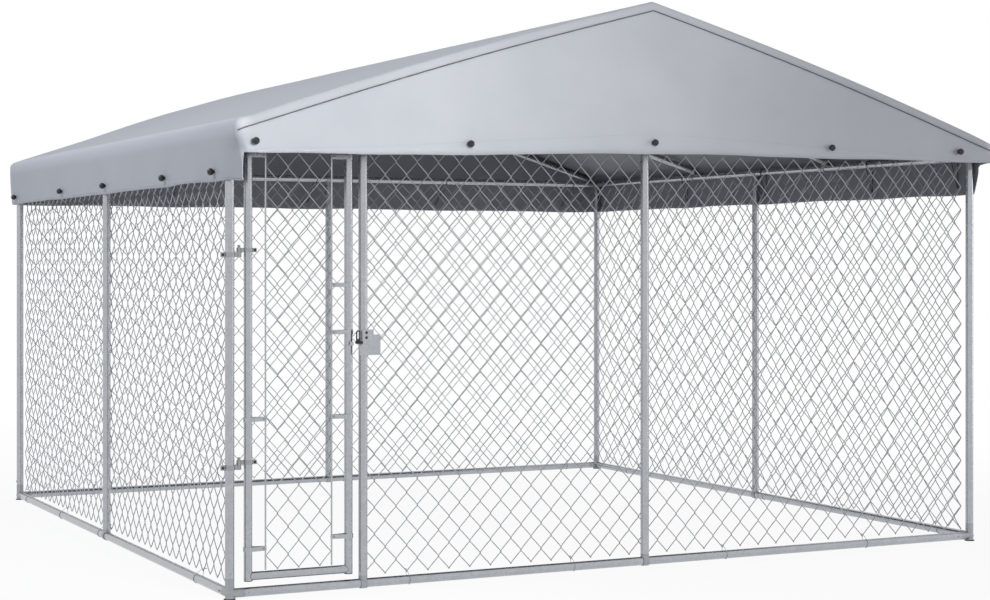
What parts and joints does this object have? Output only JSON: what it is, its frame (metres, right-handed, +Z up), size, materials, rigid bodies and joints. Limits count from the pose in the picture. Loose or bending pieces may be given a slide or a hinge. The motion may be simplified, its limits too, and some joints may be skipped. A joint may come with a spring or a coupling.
{
  "type": "outdoor dog kennel run",
  "caption": "Square walk-in dog run of galvanised tube with chain-link walls, a hinged door with a slide bolt, and a gabled cloth cover held by ball bungees.",
  "frame": {"origin": "on the ground, below the middle of the run", "axes": "+X to the right along the front wall, +Y from the front wall to the back, +Z up; the door is at the left end of the front wall, which faces -Y"},
  "size_m": [3.9178, 4.1922, 2.5252],
  "materials": {
    "galvanised_tube": "galvanised tube, semi-bright",
    "galvanised_fitting": "galvanised pressed and cast fittings, dull",
    "net_wire": "galvanised wire",
    "cover_cloth": "silver-grey coated woven cloth",
    "ball_plastic": "black, glossy",
    "black_plastic": "black, moulded",
    "elastic_cord": "black braided elastic",
    "eyelet_metal": "pressed eyelets",
    "dark_steel": "black zinc"
  },
  "bodies": {
    "frame": {"corner_post_fl": "galvanised_tube", "corner_post_fr": "galvanised_tube", "corner_post_bl": "galvanised_tube", "corner_post_br": "galvanised_tube", "front_mid_post": "galvanised_tube", "left_mid_post": "galvanised_tube", "right_mid_post": "galvanised_tube", "back_mid_post": "galvanised_tube", "door_jamb_post": "galvanised_tube", "base_corners": "galvanised_fitting", "top_corners": "galvanised_fitting", "feet": "black_plastic", "bottom_rail_front": "galvanised_tube", "bottom_rail_back": "galvanised_tube", "bottom_rail_left": "galvanised_tube", "bottom_rail_right": "galvanised_tube", "top_rail_front": "galvanised_tube", "top_rail_back": "galvanised_tube", "top_rail_left": "galvanised_tube", "top_rail_right": "galvanised_tube", "post_eyes_low": "galvanised_fitting", "post_eyes_top": "galvanised_fitting", "rafter_eyes": "galvanised_fitting", "ridge_eyes": "galvanised_fitting", "ridge_ends": "galvanised_fitting", "ridge_pole": "galvanised_tube", "rafter_pair_front": "galvanised_tube", "rafter_pairs_middle": "galvanised_tube", "rafter_pair_back": "galvanised_tube", "net_front": "net_wire", "net_left": "net_wire", "net_right": "net_wire", "net_back": "net_wire", "tie_wires": "net_wire", "cover_roof": "cover_cloth", "cover_front_gable": "cover_cloth", "cover_back_gable": "cover_cloth", "cover_eyelets": "eyelet_metal", "bungee_balls": "ball_plastic", "bungee_loops": "elastic_cord", "hinge_pintle_upper": "galvanised_fitting", "hinge_pintle_lower": "galvanised_fitting", "pintle_clamp_bolts": "dark_steel", "latch_plate": "galvanised_fitting", "latch_fixing_bolts": "galvanised_fitting"},
    "door": {"door_hinge_stile": "galvanised_tube", "door_latch_stile": "galvanised_tube", "door_top_rail": "galvanised_tube", "door_bottom_rail": "galvanised_tube", "door_stile_plugs": "black_plastic", "door_net": "net_wire", "door_tension_bars": "galvanised_fitting", "door_tension_bands": "galvanised_fitting", "door_band_bolts": "galvanised_fitting", "hinge_eye_upper": "galvanised_fitting", "hinge_eye_lower": "galvanised_fitting", "hinge_eye_clamp_bolts": "dark_steel", "latch_keeper": "galvanised_fitting"},
    "bolt": {"slide_bolt": "dark_steel"}
  },
  "joints": [
    {"name": "door_swing", "type": "hinge", "parent": "frame", "child": "door", "pos_m": [-1.861, -1.9, 0.98], "axis": [0, 0, 1], "range_deg": [0, 70]},
    {"name": "bolt_throw", "type": "slide", "parent": "frame", "child": "bolt", "axis": [-1, 0, 0], "range_m": [0, 0.026]}
  ]
}
